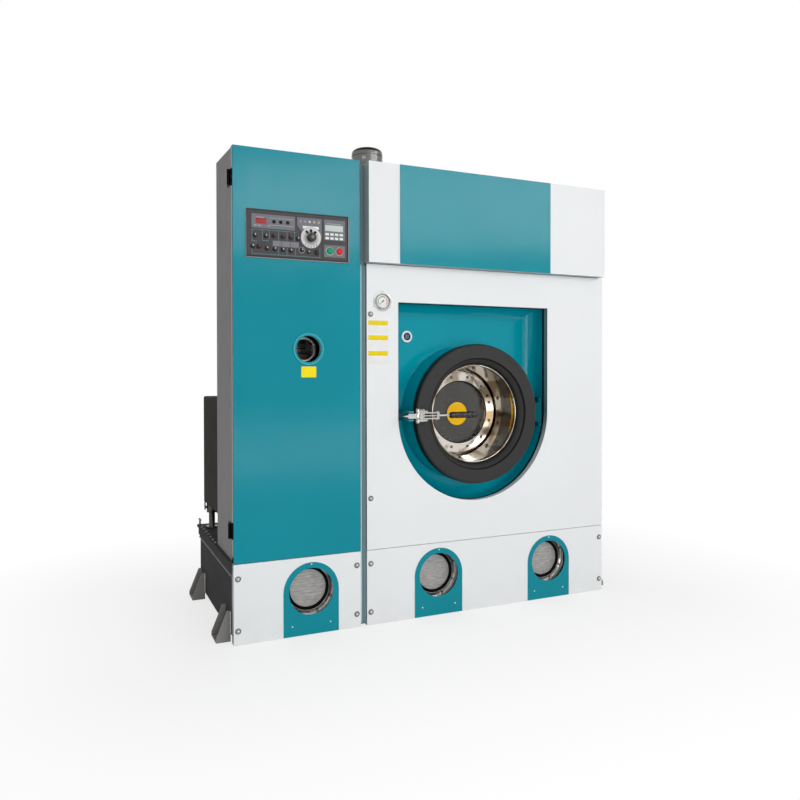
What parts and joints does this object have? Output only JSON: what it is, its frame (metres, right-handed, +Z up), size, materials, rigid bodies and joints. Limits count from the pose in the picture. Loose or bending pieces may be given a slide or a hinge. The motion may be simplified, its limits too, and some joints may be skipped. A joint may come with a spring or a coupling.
{
  "type": "dry-cleaning machine",
  "caption": "Floor-standing closed-circuit dry-cleaning machine: solvent tank base, control column, and a drum cabinet with a round window door and lever clamp.",
  "frame": {"origin": "on the floor under the middle of the bounding box", "axes": "+Z up, +X to the operator's right, the operator stands at -Y and faces +Y"},
  "size_m": [1.878, 0.8046, 2.062],
  "materials": {
    "tank_grey": "satin grey paint on welded plate",
    "foot_grey": "satin grey paint on plate",
    "panel_white": "smooth white powder coat",
    "bolt_steel": "polished domed caps",
    "teal_paint": "satin teal paint",
    "teal_cast": "teal paint on castings",
    "stainless": "polished stainless steel",
    "clear_glass": "clear toughened glass",
    "column_grey": "warm grey paint",
    "hinge_black": "black coated hinge",
    "black_rubber": "matt solvent-proof rubber",
    "control_grey": "dark grey panel",
    "dial_grey": "brushed disc",
    "black_plastic": "black moulding",
    "green_plastic": "green cap",
    "red_plastic": "red cap",
    "cabinet_grey": "blue-grey paint",
    "cast_grey": "grey casting, machined seats",
    "bearing_steel": "ground steel",
    "motor_grey": "grey motor paint",
    "cast_aluminium": "as cast",
    "rear_box_grey": "dark grey paint",
    "pipe_brass": "plain brass and pipe",
    "valve_blue": "blue dipped lever",
    "gauge_white": "white gauge case",
    "needle_black": "black pointer",
    "bezel_white": "pale moulded bezel",
    "button_blue": "blue-grey cap",
    "ring_charcoal": "charcoal coated casting"
  },
  "bodies": {
    "machine": {"base_tank": "tank_grey", "tank_feet": "foot_grey", "tank_lid": "tank_grey", "kick_panel_left": "panel_white", "kick_panel_right": "panel_white", "panel_bolts": "bolt_steel", "sight_plates": "teal_paint", "sight_rings": "stainless", "sight_glasses": "clear_glass", "column_shell": "column_grey", "column_hinges": "hinge_black", "still_vessel": "stainless", "cabinet_shell": "cabinet_grey", "rear_cover": "cabinet_grey", "front_panel": "panel_white", "fascia_panel": "panel_white", "fascia_insert": "teal_paint", "door_surround": "teal_paint", "tub": "stainless", "door_gasket": "black_rubber", "bearing_housing": "cast_grey", "drum_bearings": "bearing_steel", "drive_belt": "black_rubber", "drive_motor": "motor_grey", "fan_housing": "cabinet_grey", "fan_motor": "motor_grey", "rear_box": "rear_box_grey", "solvent_pump": "motor_grey", "valve_body": "pipe_brass", "gauge_case": "gauge_white", "gauge_lens": "clear_glass", "button_bezel": "bezel_white", "door_hinge_bracket": "teal_cast", "door_hinge_pin": "bearing_steel", "clamp_keeper": "teal_cast"},
    "column_door": {"column_door": "teal_paint", "column_door_seal": "black_rubber", "column_door_leaves": "hinge_black", "door_sight_ring": "teal_paint", "control_panel": "control_grey", "selector_dial": "dial_grey"},
    "selector_knob": {"selector_knob": "black_plastic"},
    "start_button": {"start_button": "green_plastic"},
    "stop_button": {"stop_button": "red_plastic"},
    "loading_door": {"door_ring": "ring_charcoal", "door_bowl": "stainless", "window_flange": "stainless", "window_glass": "clear_glass", "door_hinge_arm": "teal_cast", "clamp_bracket": "stainless"},
    "clamp_lever": {"clamp_lever": "stainless", "clamp_grip": "black_plastic"},
    "drum": {"drum": "stainless", "drum_shaft": "bearing_steel", "drum_pulley": "cast_grey"},
    "motor_pulley": {"motor_pulley": "cast_grey"},
    "fan_impeller": {"fan_impeller": "cast_aluminium"},
    "gauge_needle": {"gauge_needle": "needle_black"},
    "interlock_button": {"interlock_button": "button_blue"},
    "valve_handle": {"valve_handle": "valve_blue"}
  },
  "joints": [
    {"name": "column_door_hinge", "type": "hinge", "parent": "machine", "child": "column_door", "pos_m": [-0.889, -0.31405, 1.1], "axis": [0, 0, -1], "range_deg": [0, 110]},
    {"name": "selector_turn", "type": "hinge", "parent": "column_door", "child": "selector_knob", "pos_m": [-0.573, -0.34775, 1.569], "axis": [0, 1, 0], "range_deg": [-45, 45]},
    {"name": "start_press", "type": "slide", "parent": "column_door", "child": "start_button", "axis": [0, 1, 0], "range_m": [0, 0.004], "stiffness_N_per_m": 600, "springref_m": -0.002},
    {"name": "stop_press", "type": "slide", "parent": "column_door", "child": "stop_button", "axis": [0, 1, 0], "range_m": [0, 0.004], "stiffness_N_per_m": 600, "springref_m": -0.002},
    {"name": "loading_door_hinge", "type": "hinge", "parent": "machine", "child": "loading_door", "pos_m": [0.518, -0.34375, 0.858], "axis": [0, 0, 1], "range_deg": [0, 110]},
    {"name": "clamp_swing", "type": "hinge", "parent": "loading_door", "child": "clamp_lever", "pos_m": [-0.122, -0.38775, 0.858], "axis": [0, 0, -1], "range_deg": [0, 75]},
    {"name": "drum_spin", "type": "hinge", "parent": "machine", "child": "drum", "pos_m": [0.187, 0.05625, 0.858], "axis": [0, 1, 0], "continuous": true},
    {"name": "motor_spin", "type": "hinge", "parent": "machine", "child": "motor_pulley", "pos_m": [0.657, 0.32625, 0.434], "axis": [0, 1, 0], "continuous": true},
    {"name": "fan_spin", "type": "hinge", "parent": "machine", "child": "fan_impeller", "pos_m": [-0.184, 0.00625, 1.808], "axis": [0, 0, 1], "continuous": true},
    {"name": "needle_swing", "type": "hinge", "parent": "machine", "child": "gauge_needle", "pos_m": [-0.263, -0.34775, 1.331], "axis": [0, 1, 0], "range_deg": [0, 270]},
    {"name": "interlock_press", "type": "slide", "parent": "machine", "child": "interlock_button", "axis": [0, 1, 0], "range_m": [0, 0.005], "stiffness_N_per_m": 600, "springref_m": -0.002},
    {"name": "valve_turn", "type": "hinge", "parent": "machine", "child": "valve_handle", "pos_m": [-0.876, 0.31125, 0.415], "axis": [-1, 0, 0], "range_deg": [0, 90]}
  ],
  "couplings": [
    {"joint": "motor_spin", "follows": "drum_spin", "ratio": 3.8545}
  ]
}
